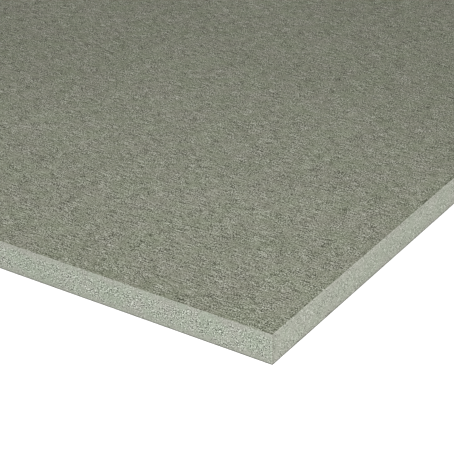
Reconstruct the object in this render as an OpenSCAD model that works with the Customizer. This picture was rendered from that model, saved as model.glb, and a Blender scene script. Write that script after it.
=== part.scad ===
// Full sheet of moisture-resistant MDF, dyed green through its whole thickness.
// It is one pressed and sawn piece, lying flat. Millimetres, +Z up.
// The origin is the centre of the underside, X runs along the length and Y along the width.

/* [Sheet] */
// Length of the sheet, along X
sheet_length = 2440; // [300:10:3660]
// Width of the sheet, along Y
sheet_width = 1220; // [150:10:1830]
// Thickness between the two sanded faces, along Z
sheet_thickness = 18; // [3:0.5:40]

/* [Edges] */
// How far the saw and the sander ease every sharp corner, measured along either side of it
arris = 0.3; // [0.1:0.1:1]

/* [Hidden] */
mdf_green = [0.54, 0.55, 0.48];

// A rectangle centred on the origin, with its four corners cut at 45 degrees by the arris
module eased_rectangle(width, height) {
    x = width / 2;
    y = height / 2;
    polygon([
        [-x + arris, -y], [x - arris, -y],
        [x, -y + arris], [x, y - arris],
        [x - arris, y], [-x + arris, y],
        [-x, y - arris], [-x, -y + arris]
    ]);
}

// The sheet is what its three eased outlines share: the plan, the front and the end.
// Each outline is carried right through the sheet, so all twelve corners are eased alike.
module board() {
    color(mdf_green)
    translate([0, 0, sheet_thickness / 2])
    intersection() {
        linear_extrude(height = sheet_thickness, center = true)
            eased_rectangle(sheet_length, sheet_width);
        rotate([90, 0, 0])
            linear_extrude(height = sheet_width, center = true)
                eased_rectangle(sheet_length, sheet_thickness);
        rotate([90, 0, 90])
            linear_extrude(height = sheet_length, center = true)
                eased_rectangle(sheet_width, sheet_thickness);
    }
}

board();
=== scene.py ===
import math

import bpy
import numpy as np
from mathutils import Matrix, Vector


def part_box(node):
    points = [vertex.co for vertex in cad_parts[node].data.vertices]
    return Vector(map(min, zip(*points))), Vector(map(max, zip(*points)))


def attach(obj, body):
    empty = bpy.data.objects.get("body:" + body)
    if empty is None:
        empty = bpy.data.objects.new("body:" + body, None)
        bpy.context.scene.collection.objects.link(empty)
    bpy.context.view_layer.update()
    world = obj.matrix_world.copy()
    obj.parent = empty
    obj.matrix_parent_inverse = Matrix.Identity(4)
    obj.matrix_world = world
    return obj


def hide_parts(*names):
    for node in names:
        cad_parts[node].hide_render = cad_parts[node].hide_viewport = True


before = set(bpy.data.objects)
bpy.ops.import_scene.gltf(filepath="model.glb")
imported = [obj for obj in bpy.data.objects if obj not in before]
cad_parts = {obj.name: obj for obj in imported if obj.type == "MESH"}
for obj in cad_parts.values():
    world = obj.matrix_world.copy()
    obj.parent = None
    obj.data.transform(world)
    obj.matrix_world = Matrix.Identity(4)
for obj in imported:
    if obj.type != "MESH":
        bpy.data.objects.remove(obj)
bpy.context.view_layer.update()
low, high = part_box("board")
thickness = high.z - low.z
mm = 0.001
print("frame loaded, sheet", [round(side, 4) for side in high - low])


# node helpers: a material is drawn as a chain of small named steps. each step is made after the steps that
# feed it, because the renderer works through them in that order and can keep only so much waiting

xAxis, yAxis, zAxis = 0, 1, 2
noiseRange = (0.35, 0.65)  # most of a noise lies between these


def addNode(tree, kind, settings=None, **inputs):
    # one node; settings are its own properties, inputs are values or sockets by input name, _ for a space
    made = tree.nodes.new(kind)
    for name, value in (settings or {}).items():
        setattr(made, name, value)
    for name, value in inputs.items():
        plug(tree, made.inputs[name.replace("_", " ")], value)
    return made


def plug(tree, socket, value):
    # links another node's socket, or sets a plain value
    if isinstance(value, bpy.types.NodeSocket):
        tree.links.new(value, socket)
    else:
        socket.default_value = value


def calc(tree, operation, *values):
    # one math step on numbers or sockets
    step = tree.nodes.new("ShaderNodeMath")
    step.operation = operation
    for socket, value in zip(step.inputs, values):
        plug(tree, socket, value)
    return step.outputs[0]


def vectorCalc(tree, operation, *values):
    # one math step on vectors
    step = tree.nodes.new("ShaderNodeVectorMath")
    step.operation = operation
    for socket, value in zip(step.inputs, values):
        plug(tree, socket, value)
    return step.outputs[0]


def oneOf(tree, vector, which):
    # one of a vector's three numbers: vector . (1, 0, 0), (0, 1, 0) or (0, 0, 1). a separate node would
    # also keep room for the two numbers that aren't read
    step = addNode(tree, "ShaderNodeVectorMath", {"operation": "DOT_PRODUCT"})
    plug(tree, step.inputs[0], vector)
    plug(tree, step.inputs[1], [float(number == which) for number in range(3)])
    return step.outputs["Value"]


def spread(tree, value, fromLow, fromHigh, toLow, toHigh, kind="LINEAR"):
    # maps fromLow..fromHigh onto toLow..toHigh and holds the ends, which the smooth kind does by itself
    step = addNode(tree, "ShaderNodeMapRange", {"interpolation_type": kind, "clamp": kind == "LINEAR"})
    for socket, number in zip(step.inputs, (value, fromLow, fromHigh, toLow, toHigh)):
        plug(tree, socket, number)
    return step.outputs[0]


def between(tree, share, start, end, held=True):
    # start + share * (end - start), in the mix node's vector sockets; held keeps the share within 0..1
    mix = addNode(tree, "ShaderNodeMix", {"data_type": "VECTOR", "clamp_factor": held}, Factor=share)
    plug(tree, mix.inputs[4], start)
    plug(tree, mix.inputs[5], end)
    return mix.outputs[1]


def noise(tree, place, size, detail=0.0, roughness=0.5, dimensions="3D"):
    # lumps about size metres across; averages a half
    step = addNode(tree, "ShaderNodeTexNoise", {"noise_dimensions": dimensions}, Vector=place,
                   Scale=1 / size, Detail=detail, Roughness=roughness)
    return step.outputs["Fac"]


def flatPlace(tree, across, up):
    # object coordinates laid flat: X = the across axis, Y = the up axis, and the third axis left out
    place = addNode(tree, "ShaderNodeTexCoord").outputs["Object"]
    flat = addNode(tree, "ShaderNodeCombineXYZ", X=oneOf(tree, place, across), Y=oneOf(tree, place, up))
    return flat.outputs[0]


# fibre: what every finish draws its tone with

fibre = {
    "jump": (97.0, 61.0, 0.0),  # spreads the cells of the tufts over the noise, so no two show the same piece
    "fullWidth": 0.4,           # share of a hair's half width that shows in full, before it falls off
    "fullLength": 0.5,          # the same along it, in the square of the way to its end
    "everyWay": 6.3,            # radians, about a full turn: a swing for fibre that lies in no direction
}


def turnedCell(tree, place, layer, size):
    # place inside its own random cell, turned by the cell's own angle, and the cell's three random numbers.
    # the angle is swing * (first number - 0.5), so a small swing combs the fibres along X
    shifted = vectorCalc(tree, "ADD", place, layer["shift"] + (0.0,))
    cells = addNode(tree, "ShaderNodeTexVoronoi", {"voronoi_dimensions": "2D"}, Vector=shifted,
                    Scale=1 / size, Randomness=1.0)
    local = vectorCalc(tree, "SUBTRACT", shifted, cells.outputs["Position"])
    chance = cells.outputs["Color"]
    lean = calc(tree, "SUBTRACT", oneOf(tree, chance, 0), 0.5)
    angle = calc(tree, "MULTIPLY", lean, layer["swing"])
    turned = addNode(tree, "ShaderNodeVectorRotate", {"rotation_type": "Z_AXIS"}, Vector=local, Angle=angle)
    return turned.outputs[0], chance


def tufts(tree, place, layer):
    # patches of parallel fibre: noise stretched to length by width, in a cell that is turned its own way
    turned, chance = turnedCell(tree, place, layer, layer["patch"])
    moved = vectorCalc(tree, "MULTIPLY", chance, fibre["jump"])
    drawn = vectorCalc(tree, "MULTIPLY_ADD", turned, (1 / layer["length"], 1 / layer["width"], 0.0), moved)
    return noise(tree, drawn, 1.0, detail=layer["detail"], dimensions="2D")


def hairs(tree, place, layer):
    # one bent fibre in a share of the cells: 1 on the line across = bend * (second number - 0.5) * along
    # squared, falling to 0 at its half width and half length
    turned, chance = turnedCell(tree, place, layer, layer["cell"])
    along = calc(tree, "DIVIDE", oneOf(tree, turned, 0), layer["length"] / 2)
    square = calc(tree, "MULTIPLY", along, along)
    side = calc(tree, "SUBTRACT", oneOf(tree, chance, 1), 0.5)
    bend = calc(tree, "MULTIPLY", side, layer["bend"])
    centred = calc(tree, "SUBTRACT", oneOf(tree, turned, 1), calc(tree, "MULTIPLY", square, bend))
    across = calc(tree, "ABSOLUTE", calc(tree, "DIVIDE", centred, layer["width"] / 2))
    body = spread(tree, across, fibre["fullWidth"], 1.0, 1.0, 0.0, "SMOOTHSTEP")
    ends = spread(tree, square, fibre["fullLength"], 1.0, 1.0, 0.0, "SMOOTHSTEP")
    kept = calc(tree, "LESS_THAN", oneOf(tree, chance, 2), layer["share"])
    return calc(tree, "MULTIPLY", calc(tree, "MULTIPLY", body, ends), kept)


def layered(tree, place, layers, drawLayer):
    # the layers added together
    total = None
    for layer in layers:
        drawn = drawLayer(tree, place, layer)
        total = drawn if total is None else calc(tree, "ADD", total, drawn)
    return total


def withNoise(tree, tone, place, layer):
    # tone + strength * (noise - 0.5); a stretch under 1 draws the lumps out along that axis
    moved = addNode(tree, "ShaderNodeMapping", Vector=place,
                    Location=layer.get("shift", (0.0, 0.0)) + (0.0,),
                    Scale=layer.get("stretch", (1.0, 1.0)) + (1.0,))
    lumps = noise(tree, moved.outputs[0], layer["size"], layer["detail"], layer["roughness"])
    return calc(tree, "MULTIPLY_ADD", calc(tree, "SUBTRACT", lumps, 0.5), layer["strength"], tone)


def fibreContrast(tree, place, looks):
    # tufts + pale hairs - dark hairs + grains, times busy: 0 where the board is plain, above it on pale fibre
    # and below it on dark, stronger in busy patches
    plainTufts = len(looks["tufts"]) / 2  # each layer averages a half
    felt = calc(tree, "SUBTRACT", layered(tree, place, looks["tufts"], tufts), plainTufts)
    contrast = calc(tree, "MULTIPLY", felt, looks["tuftStrength"])
    pale = layered(tree, place, looks["paleHairs"], hairs)
    contrast = calc(tree, "MULTIPLY_ADD", pale, looks["paleStrength"], contrast)
    dark = layered(tree, place, looks["darkHairs"], hairs)
    contrast = calc(tree, "MULTIPLY_ADD", dark, -looks["darkStrength"], contrast)
    for layer in looks["grains"]:
        contrast = withNoise(tree, contrast, place, layer)
    # crisp above 0 draws out the palest and darkest spots: contrast * size of contrast ^ crisp
    size = calc(tree, "POWER", calc(tree, "ABSOLUTE", contrast), looks["crisp"])
    contrast = calc(tree, "MULTIPLY", contrast, size)
    busy = noise(tree, place, looks["busySize"], looks["busyDetail"])
    busy = spread(tree, busy, *noiseRange, *looks["busyRange"])
    return calc(tree, "MULTIPLY", contrast, busy)


def finishMaterial(name, looks, drawTone):
    # a matt shader whose colour, roughness and relief all follow the tone: 1 where the board is plain
    material = bpy.data.materials.new(name)
    material.use_nodes = True
    tree = material.node_tree
    shader = tree.nodes["Principled BSDF"]
    place, tone, greener = drawTone(tree, looks)
    tone = spread(tree, tone, *looks["toneRange"], *looks["toneRange"])
    hue = calc(tree, "ADD", noise(tree, place, looks["hueSize"], looks["hueDetail"]), greener)
    hue = spread(tree, hue, *noiseRange, 0.0, 1.0)
    tint = between(tree, hue, looks["warmColour"], looks["greenColour"])
    # pale fibre is greyer and dark fibre deeper in colour: share of grey = fade * log2(tone)
    fade = calc(tree, "MULTIPLY", calc(tree, "LOGARITHM", tone, 2.0), looks["fade"])
    faded = between(tree, fade, tint, looks["greyColour"], held=False)
    colour = addNode(tree, "ShaderNodeVectorMath", {"operation": "SCALE"}, Vector=faded, Scale=tone)
    plug(tree, shader.inputs["Base Color"], colour.outputs[0])
    rough = spread(tree, tone, *looks["roughTones"], *looks["roughness"])
    plug(tree, shader.inputs["Roughness"], rough)
    shader.inputs["Specular IOR Level"].default_value = looks["specular"]
    bump = addNode(tree, "ShaderNodeBump", Height=tone, Distance=looks["relief"], Strength=1.0)
    plug(tree, shader.inputs["Normal"], bump.outputs[0])
    return material


# sanded faces: felted fibre, seen flat on

sandedFace = {
    "warmColour": (0.125, 0.1268, 0.0950),
    "greenColour": (0.1170, 0.1282, 0.0870),
    "greyColour": (0.124, 0.124, 0.124),
    "fade": 0.35,
    "hueSize": 22 * mm,
    "hueDetail": 2.0,
    "specular": 0.3,
    "roughTones": (0.4, 1.6),   # dark pits and pale fibre, which have the next line's roughness
    "roughness": (0.9, 0.75),
    "toneRange": (0.12, 2.8),
    "tufts": [
        {"patch": 2.6 * mm, "length": 1.5 * mm, "width": 0.30 * mm, "swing": 1.8, "detail": 1.5,
         "shift": (0.0, 0.0)},
        {"patch": 2.1 * mm, "length": 1.2 * mm, "width": 0.26 * mm, "swing": 2.2, "detail": 1.5,
         "shift": (0.31, 0.17)},
        {"patch": 3.3 * mm, "length": 1.9 * mm, "width": 0.34 * mm, "swing": 1.5, "detail": 1.5,
         "shift": (0.12, 0.43)},
    ],
    "tuftStrength": 1.3,
    "paleHairs": [
        {"cell": 3.6 * mm, "length": 3.8 * mm, "width": 0.34 * mm, "bend": 1.1 * mm, "swing": 2.0,
         "share": 0.7, "shift": (0.71, 0.23)},
        {"cell": 2.5 * mm, "length": 2.4 * mm, "width": 0.32 * mm, "bend": 0.7 * mm, "swing": 2.6,
         "share": 0.8, "shift": (0.05, 0.57)},
    ],
    "paleStrength": 0.4,
    "darkHairs": [
        {"cell": 3.0 * mm, "length": 2.6 * mm, "width": 0.45 * mm, "bend": 0.7 * mm, "swing": 2.0,
         "share": 0.7, "shift": (0.37, 0.83)},
        {"cell": 2.0 * mm, "length": 1.6 * mm, "width": 0.50 * mm, "bend": 0.3 * mm, "swing": 2.6,
         "share": 0.6, "shift": (0.93, 0.61)},
    ],
    "darkStrength": 0.65,
    "busySize": 9 * mm,
    "busyDetail": 1.0,
    "busyRange": (0.64, 1.66),
    "grains": [
        {"size": 0.65 * mm, "detail": 0.0, "roughness": 0.5, "strength": 3.9, "stretch": (0.85, 1.0)},
        {"size": 0.75 * mm, "detail": 0.0, "roughness": 0.5, "strength": 1.6, "stretch": (0.13, 1.0)},
        {"size": 0.7 * mm, "detail": 0.0, "roughness": 0.5, "strength": 1.1, "stretch": (0.06, 1.0)},
    ],
    "crisp": 0.2,
    "mottle": {"size": 10 * mm, "detail": 2.0, "roughness": 0.7, "strength": 0.25, "stretch": (0.5, 1.0)},
    "sanding": {"size": 1.6 * mm, "detail": 1.0, "roughness": 0.5, "strength": 0.25, "stretch": (0.02, 1.0)},
    "cloud": {"size": 100 * mm, "detail": 3.0, "roughness": 0.8, "strength": 0.38, "stretch": (0.5, 1.0)},
    # lumps across the whole sheet, shifted to lie lighter by the nearest corner: partly the sheet's own
    # clouding, partly a painted pool of light
    "paintedPoolAndDrift": {"size": 600 * mm, "detail": 1.0, "roughness": 0.5, "strength": 0.65, "shift": (0.75, 0.3)},
    "rimWidth": 4 * mm,  # a band beside every arris that handling has dulled
    "rimShade": 0.10,    # how much darker it is at the arris
    "relief": 0.06 * mm,
}


def drawFaceTone(tree, looks):
    # (1 + fibre contrast + soft layers, the widest of them partly a painted pool of light) * shade of the
    # rim; gives the place, the tone and no extra green
    place = flatPlace(tree, xAxis, yAxis)
    tone = calc(tree, "ADD", fibreContrast(tree, place, looks), 1.0)
    for layer in ("mottle", "sanding", "cloud", "paintedPoolAndDrift"):
        tone = withNoise(tree, tone, place, looks[layer])
    fromEnd = calc(tree, "SUBTRACT", high.x, calc(tree, "ABSOLUTE", oneOf(tree, place, 0)))
    fromSide = calc(tree, "SUBTRACT", high.y, calc(tree, "ABSOLUTE", oneOf(tree, place, 1)))
    rim = calc(tree, "MINIMUM", fromEnd, fromSide)
    shade = spread(tree, rim, 0.0, looks["rimWidth"], 1 - looks["rimShade"], 1.0, "SMOOTHSTEP")
    return place, calc(tree, "MULTIPLY", tone, shade), 0.0


# sawn edges: paler, granular in the core and closer towards both faces

sawnEdge = {
    "warmColour": (0.267, 0.273, 0.2345),
    "greenColour": (0.2445, 0.274, 0.2185),
    "greyColour": (0.268, 0.268, 0.268),
    "fade": 0.35,
    "hueSize": 14 * mm,
    "hueDetail": 2.0,
    "specular": 0.3,
    "roughTones": (0.4, 1.6),
    "roughness": (0.9, 0.8),
    "toneRange": (0.08, 2.1),
    "tufts": [
        {"patch": 1.6 * mm, "length": 0.9 * mm, "width": 0.42 * mm, "swing": fibre["everyWay"], "detail": 2.0,
         "shift": (0.21, 0.0)},
        {"patch": 2.2 * mm, "length": 1.0 * mm, "width": 0.50 * mm, "swing": fibre["everyWay"], "detail": 2.0,
         "shift": (0.47, 0.11)},
    ],
    "tuftStrength": 2.4,
    "paleHairs": [
        {"cell": 1.9 * mm, "length": 1.1 * mm, "width": 0.50 * mm, "bend": 0.3 * mm,
         "swing": fibre["everyWay"], "share": 0.5, "shift": (0.13, 0.37)},
    ],
    "paleStrength": 0.9,
    "darkHairs": [
        {"cell": 1.7 * mm, "length": 1.0 * mm, "width": 0.45 * mm, "bend": 0.2 * mm,
         "swing": fibre["everyWay"], "share": 0.5, "shift": (0.83, 0.29)},
    ],
    "darkStrength": 0.7,
    "grains": [
        {"size": 0.7 * mm, "detail": 0.0, "roughness": 0.5, "strength": 3.2},
    ],
    "crisp": 0.3,
    "busySize": 4 * mm,
    "busyDetail": 1.0,
    "busyRange": (0.4, 1.55),
    "skin": (1.8 * mm, 5.0 * mm),  # depths between which the close surface layer grades into the core
    "skinDrift": {"size": 9 * mm, "detail": 1.0, "roughness": 0.5, "strength": 6 * mm},
    "skinContrast": 0.35,   # of the core's contrast
    "skinTone": 0.96,
    "coreGreen": 0.12,      # added to the hue noise from the skin to the core, which makes the core greener
    "mottle": {"size": 12 * mm, "detail": 2.0, "roughness": 0.5, "strength": 0.16},
    "paintedContactShadow": (0.32 * mm, 0.6 * mm),  # painted shade: the floor's contact shadow drawn as a dark line along the lower arris
    "paintedContactShadowTone": 0.05,
    "cornerWidth": 0.9 * mm,  # painted highlight: a paler line beside the upright corners
    "cornerTone": 1.22,
    "relief": 0.10 * mm,
}


def drawEdgeTone(across, halfLength):
    # for the edge that runs along the across axis: (plain + fibre contrast * strength at that depth + mottle)
    # * corner band * painted contact shadow along the lower arris; gives the place, the tone and how much
    #   greener it is
    def draw(tree, looks):
        place = flatPlace(tree, across, zAxis)
        height = oneOf(tree, place, 1)
        fromMiddle = calc(tree, "ABSOLUTE", calc(tree, "SUBTRACT", height, (low.z + high.z) / 2))
        depth = withNoise(tree, calc(tree, "SUBTRACT", thickness / 2, fromMiddle), place, looks["skinDrift"])
        core = spread(tree, depth, *looks["skin"], 0.0, 1.0, "SMOOTHSTEP")
        contrast = spread(tree, core, 0.0, 1.0, looks["skinContrast"], 1.0)
        plain = spread(tree, core, 0.0, 1.0, looks["skinTone"], 1.0)
        tone = calc(tree, "MULTIPLY_ADD", fibreContrast(tree, place, looks), contrast, plain)
        tone = withNoise(tree, tone, place, looks["mottle"])
        # a band beside the upright corners: a painted highlight on the long edges, darker on the short ones
        fromCorner = calc(tree, "SUBTRACT", halfLength, calc(tree, "ABSOLUTE", oneOf(tree, place, 0)))
        corner = spread(tree, fromCorner, 0.0, looks["cornerWidth"], looks["cornerTone"], 1.0, "SMOOTHSTEP")
        tone = calc(tree, "MULTIPLY", tone, corner)
        # painted shade: darker towards the lower arris, standing in for the floor's contact shadow
        paintedContactShadow = spread(tree, height, *looks["paintedContactShadow"], looks["paintedContactShadowTone"], 1.0, "SMOOTHSTEP")
        greener = calc(tree, "MULTIPLY", calc(tree, "SUBTRACT", core, 0.5), looks["coreGreen"])
        return place, calc(tree, "MULTIPLY", tone, paintedContactShadow), greener
    return draw


# the short edges are sawn across the mat: plainer, with scattered pale specks

crossEdge = sawnEdge | {
    "warmColour": (0.275, 0.2805, 0.2375),
    "greenColour": (0.260, 0.2805, 0.2270),
    "tuftStrength": 1.5,
    "grains": [
        {"size": 0.6 * mm, "detail": 0.0, "roughness": 0.5, "strength": 1.3, "stretch": (0.6, 1.0)},
    ],
    "crisp": 0.0,
    "paleHairs": [
        {"cell": 2.6 * mm, "length": 2.0 * mm, "width": 0.55 * mm, "bend": 0.3 * mm,
         "swing": fibre["everyWay"], "share": 0.4, "shift": (0.13, 0.37)},
    ],
    "paleStrength": 0.8,
    "darkStrength": 0.9,
    "busySize": 8 * mm,
    "busyRange": (0.5, 1.3),
    "skinContrast": 0.85,
    "skinTone": 1.0,
    # the painted contact shadow along the lower arris reaches a little higher on this side
    "paintedContactShadow": (0.45 * mm, 0.72 * mm),
    "cornerWidth": 3.5 * mm,  # on this side the band beside the corner is darker
    "cornerTone": 0.72,
}


# the sheet: a profile carried round the outline, with a grid of cells over each face

sheet = {
    "cell": 20 * mm,          # side of the cells on both faces
    "split": 10,              # columns to a cell round the outline
    "cornerRadius": 0.4 * mm,  # of the four upright corners
    "cornerSteps": 6,
    "arrisRadius": 0.28 * mm,  # of the sawn arrises
    "arrisSteps": 4,
    "arrisWear": 0.35,        # most that the radius wanders, as a share of it
    "wearLengths": [90 * mm, 37 * mm, 17 * mm, 9 * mm],  # of the waves that it wanders by
    "wearSeed": 11,
    "edgeRows": 6,
}


def cellsAlong(half, looks):
    # whole cells along a side: its straight length / cell
    return round(2 * (half - looks["cornerRadius"]) / looks["cell"])


def outline(halfLength, halfWidth, looks):
    # rounded rectangle: each side is straight, each corner is its centre + radius * (sin a, -cos a)
    radius = looks["cornerRadius"]
    turn = np.linspace(0, math.pi / 2, looks["cornerSteps"] + 1)
    points, normals = [], []
    for quarter, (length, width) in enumerate([(halfLength, halfWidth), (halfWidth, halfLength)] * 2):
        # a side along +x at y = -width, then its right-hand corner, turned by quarter turns
        steps = cellsAlong(length, looks) * looks["split"]
        x = np.linspace(radius - length, length - radius, steps + 1)[1:-1]
        straight = np.stack([x, np.full_like(x, -width)], 1)
        arc = np.stack([length - radius + radius * np.sin(turn), -width + radius - radius * np.cos(turn)], 1)
        outward = np.concatenate([np.tile([0.0, -1.0], (len(x), 1)),
                                  np.stack([np.sin(turn), -np.cos(turn)], 1)])
        spin = np.linalg.matrix_power(np.array([[0.0, -1.0], [1.0, 0.0]]), quarter)
        points.append(np.concatenate([straight, arc]) @ spin.T)
        normals.append(outward @ spin.T)
    return np.concatenate(points), np.concatenate(normals)


def wornRadius(path, looks, dice):
    # arris radius at each column: radius * (1 + wear * mean of sines), with whole waves round the outline
    steps = np.linalg.norm(np.roll(path, -1, 0) - path, axis=1)
    along = np.cumsum(steps) / steps.sum()
    waves = np.round(steps.sum() / np.array(looks["wearLengths"]))[:, None]
    phases = dice.uniform(0, 1, len(waves))[:, None]
    swing = np.sin(2 * math.pi * (waves * along + phases)).mean(0)
    return looks["arrisRadius"] * (1 + looks["arrisWear"] * swing)


def profile(thickness, upper, lower, looks):
    # each column runs from the top face over the arris, down the edge and under, as inset from the outline
    # and height. an arris of radius r is r * (1 - sin a), r * (1 - cos a) in from the sharp corner
    turn = np.linspace(0, math.pi / 2, looks["arrisSteps"] + 1)[:, None]
    over = np.stack([upper * (1 - np.sin(turn)), thickness - upper * (1 - np.cos(turn))], 2)
    under = np.stack([lower * (1 - np.sin(turn)), lower * (1 - np.cos(turn))], 2)
    height = np.linspace(thickness, 0, looks["edgeRows"] + 1)[1:-1, None] + 0 * upper  # in every column
    down = np.stack([0 * height, height], 2)
    return np.concatenate([over, down, under[::-1]])


def faceCells(halfLength, halfWidth, ring, first, looks):
    # grid points inside one face, the square cells between them, and the cells round those that reach the
    # outline and take up its columns; ring numbers the outline's points and first is the next free number
    split, cornerSteps = looks["split"], looks["cornerSteps"]
    across, up = cellsAlong(halfLength, looks), cellsAlong(halfWidth, looks)
    x = np.linspace(-1, 1, across + 1)[1:-1] * (halfLength - looks["cornerRadius"])
    y = np.linspace(-1, 1, up + 1)[1:-1] * (halfWidth - looks["cornerRadius"])
    inner = np.stack(np.meshgrid(x, y), 2).reshape(-1, 2)
    number = first + np.arange(len(inner)).reshape(up - 1, across - 1)
    squares = np.stack([number[:-1, :-1], number[:-1, 1:], number[1:, 1:], number[1:, :-1]], 2)
    cells = squares.reshape(-1, 4).tolist()
    start = -1
    for side in (number[0], number[:, -1], number[-1, ::-1], number[::-1, 0]):
        stops = start + split * np.arange(1, len(side) + 1)
        columns = ring[(stops[:-1, None] + np.arange(split + 1)) % len(ring)]
        cells += np.concatenate([columns, side[1:, None], side[:-1, None]], 1).tolist()
        columns = ring[(stops[-1] + np.arange(2 * split + cornerSteps + 1)) % len(ring)]
        cells.append(columns.tolist() + [int(side[-1])])
        start = stops[-1] + split + cornerSteps
    return inner, cells


def makeSheet(looks, low, high):
    # point (around, across) = outline - inset * outward normal, at the profile's height
    middle = (low + high) / 2
    dice = np.random.default_rng(looks["wearSeed"])
    path, outward = outline((high.x - low.x) / 2, (high.y - low.y) / 2, looks)
    section = profile(high.z - low.z, wornRadius(path, looks, dice), wornRadius(path, looks, dice), looks)
    plan = path + np.array([middle.x, middle.y]) - section[:, :, :1] * outward
    grid = np.concatenate([plan, section[:, :, 1:] + low.z], 2)
    rows, columns = grid.shape[:2]
    around, onward = np.arange(columns), np.roll(np.arange(columns), -1)
    start = np.arange(rows - 1)[:, None] * columns
    quads = np.stack([start + around, start + columns + around, start + columns + onward, start + onward], 2)
    quads = quads.reshape(-1, 4)
    half = (high - low) / 2
    ring = np.arange(columns)
    inner, top = faceCells(half.x, half.y, ring, rows * columns, looks)
    inner, under = faceCells(half.x, half.y, (rows - 1) * columns + ring, rows * columns + len(inner), looks)
    inner = inner + np.array([middle.x, middle.y])
    above = np.column_stack([inner, np.full(len(inner), high.z)])
    below = np.column_stack([inner, np.full(len(inner), low.z)])
    points = np.concatenate([grid.reshape(-1, 3), above, below])
    faces = quads.tolist() + top + [cell[::-1] for cell in under]
    mesh = bpy.data.meshes.new("mdfSheet")
    mesh.from_pydata(points.tolist(), [], faces)
    mesh.update()
    sheetObject = bpy.data.objects.new("mdf_sheet", mesh)
    bpy.context.scene.collection.objects.link(sheetObject)
    smooth = np.zeros(len(mesh.polygons), bool)
    smooth[:len(quads)] = True
    mesh.polygons.foreach_set("use_smooth", smooth)
    return sheetObject


def nearestAxes(mesh):
    # the axis of the largest part of each polygon's normal, and whether that part points along the axis
    normals = np.empty(len(mesh.polygons) * 3, np.float32)
    mesh.polygons.foreach_get("normal", normals)
    normals = normals.reshape(-1, 3)
    axes = np.abs(normals).argmax(1)
    return axes, normals[np.arange(len(axes)), axes] > 0


def dressSheet(sheetObject, materials):
    # materials are for the faces, the long edges and the short edges, which look along z, y and x
    mesh = sheetObject.data
    for material in materials:
        mesh.materials.append(material)
    axes = nearestAxes(mesh)[0]
    mesh.polygons.foreach_set("material_index", zAxis - axes)
    mesh.update()


# the bake's map: both faces one above the other, then each long edge, then the short edges side by side

bakeMap = {
    "size": 1024,  # steps across the whole map, which the measures below are in
    "faceHeight": 438,
    "edgeHeight": 36,
    "gap": 8,
    "margin": 4,
}


def layMap(sheetObject, looks, low, high):
    # map corner = start + step * share of the sheet's length, width or thickness;
    # the six sides run -x, +x, -y, +y, -z, +z
    mesh = sheetObject.data
    axes, along = nearestAxes(mesh)
    totals = np.empty(len(mesh.polygons), np.int32)
    mesh.polygons.foreach_get("loop_total", totals)
    side = np.repeat(axes * 2 + along, totals)
    vertices = np.empty(len(mesh.loops), np.int32)
    mesh.loops.foreach_get("vertex_index", vertices)
    places = np.empty(len(mesh.vertices) * 3, np.float32)
    mesh.vertices.foreach_get("co", places)
    share = ((places.reshape(-1, 3) - np.array(low)) / np.array(high - low))[vertices]
    face, edge, gap = looks["faceHeight"], looks["edgeHeight"], looks["gap"]
    length = looks["size"] - 2 * looks["margin"]
    half = (length - gap) / 2
    rows = 2 * (face + gap) + np.arange(3) * (edge + gap)
    uAxis = np.array([1, 1, 0, 0, 0, 0])[side]
    uStart = np.array([length, 0, 0, length, length, 0])[side]
    uStep = np.array([-half, half, length, -length, -length, length])[side]
    vAxis = np.array([2, 2, 2, 2, 1, 1])[side]
    vStart = np.array([rows[2], rows[2], rows[0], rows[1], face + gap, 0])[side]
    vStep = np.array([edge, edge, edge, edge, face, face])[side]
    corners = np.arange(len(side))
    flat = np.stack([uStart + uStep * share[corners, uAxis], vStart + vStep * share[corners, vAxis]], 1)
    flat = (looks["margin"] + flat) / looks["size"]
    layer = mesh.uv_layers.new(name="OFBake")
    layer.data.foreach_set("uv", flat.astype(np.float32).ravel())


board = makeSheet(sheet, low, high)
dressSheet(board, [
    finishMaterial("sandedFace", sandedFace, drawFaceTone),
    finishMaterial("longSawnEdge", sawnEdge, drawEdgeTone(xAxis, high.x)),
    finishMaterial("shortSawnEdge", crossEdge, drawEdgeTone(yAxis, high.y)),
])
layMap(board, bakeMap, low, high)
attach(board, "root")
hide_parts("board")
print("sheet made,", len(board.data.polygons), "faces")


# floor, light and camera

studio = {
    "floorSize": 60.0,  # metres, as the lamp's measures are
    "floorColour": (0.96, 0.96, 0.96, 1.0),
    "floorRoughness": 0.9,
    "skyColour": (1.0, 1.0, 1.0, 1.0),
    "skyStrength": 1.0,
    "softboxSize": 0.6,
    "softboxHeight": 0.65,
    "softboxAhead": 0.25,   # in front of the nearest corner, on the camera's side
    "softboxPower": 5.4,    # watts
}

view = {
    "lens": 127.75,  # millimetres, as the sensor is
    "azimuth": 34.45,  # degrees, and the next two
    "elevation": 29.23,
    "roll": -1.25,
    "fromCorner": (0.3581, -0.5592, 0.4505),  # the camera's place from the sheet's nearest lower corner
    "sensor": 36.0,
    "nearest": 0.01,  # nearer things aren't drawn
}


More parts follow.
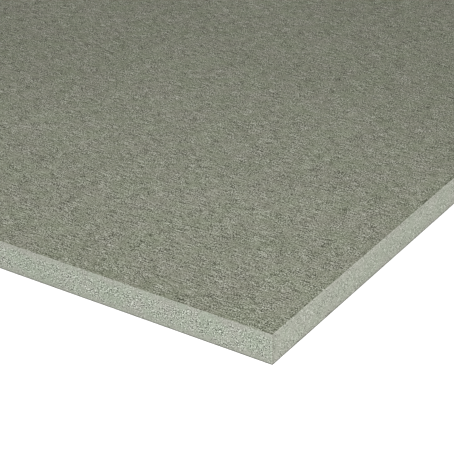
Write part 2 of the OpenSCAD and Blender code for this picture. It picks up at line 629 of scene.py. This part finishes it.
def makeFloor(looks):
    # one square, floorSize along each side, centred under the sheet
    half = looks["floorSize"] / 2
    mesh = bpy.data.meshes.new("floor")
    corners = [(-half, -half, 0), (half, -half, 0), (half, half, 0), (-half, half, 0)]
    mesh.from_pydata(corners, [], [(0, 1, 2, 3)])
    floor = bpy.data.objects.new("floor", mesh)
    bpy.context.scene.collection.objects.link(floor)
    material = bpy.data.materials.new("floorPaper")
    material.use_nodes = True
    shader = material.node_tree.nodes["Principled BSDF"]
    shader.inputs["Base Color"].default_value = looks["floorColour"]
    shader.inputs["Roughness"].default_value = looks["floorRoughness"]
    mesh.materials.append(material)


def makeSky(looks):
    # the same light from every side
    world = bpy.data.worlds.new("studioSky")
    world.use_nodes = True
    bpy.context.scene.world = world
    background = world.node_tree.nodes["Background"]
    background.inputs["Color"].default_value = looks["skyColour"]
    background.inputs["Strength"].default_value = looks["skyStrength"]


def makeSoftbox(looks, corner, azimuth):
    # a square lamp at corner + ahead towards the camera + height, facing the corner
    data = bpy.data.lights.new("softbox", "AREA")
    data.size = looks["softboxSize"]
    data.energy = looks["softboxPower"]
    lamp = bpy.data.objects.new("softbox", data)
    bpy.context.scene.collection.objects.link(lamp)
    ahead = Vector((math.sin(azimuth), -math.cos(azimuth), 0)) * looks["softboxAhead"]
    lamp.location = corner + ahead + Vector((0, 0, looks["softboxHeight"]))
    lamp.rotation_mode = "QUATERNION"
    lamp.rotation_quaternion = (lamp.location - corner).to_track_quat("Z", "Y")


def makeCamera(looks, corner):
    # back = (sin a cos e, -cos a cos e, sin e), then the level axes are turned by the roll
    azimuth = math.radians(looks["azimuth"])
    elevation = math.radians(looks["elevation"])
    back = Vector((math.sin(azimuth) * math.cos(elevation), -math.cos(azimuth) * math.cos(elevation),
                   math.sin(elevation)))
    right = Vector((0, 0, 1)).cross(back).normalized()
    up = back.cross(right)
    turn = Matrix.Rotation(math.radians(looks["roll"]), 3, back)
    data = bpy.data.cameras.new("camera")
    data.lens = looks["lens"]
    data.sensor_width = looks["sensor"]
    data.clip_start = looks["nearest"]
    camera = bpy.data.objects.new("camera", data)
    bpy.context.scene.collection.objects.link(camera)
    axes = turn @ Matrix((right, up, back)).transposed()
    camera.matrix_world = Matrix.Translation(corner + Vector(looks["fromCorner"])) @ axes.to_4x4()
    bpy.context.scene.camera = camera


nearCorner = Vector((high.x, low.y, low.z))
makeFloor(studio)
makeSky(studio)
makeSoftbox(studio, nearCorner, math.radians(view["azimuth"]))
bpy.context.scene.view_settings.view_transform = "Standard"
makeCamera(view, nearCorner)
print("studio made")
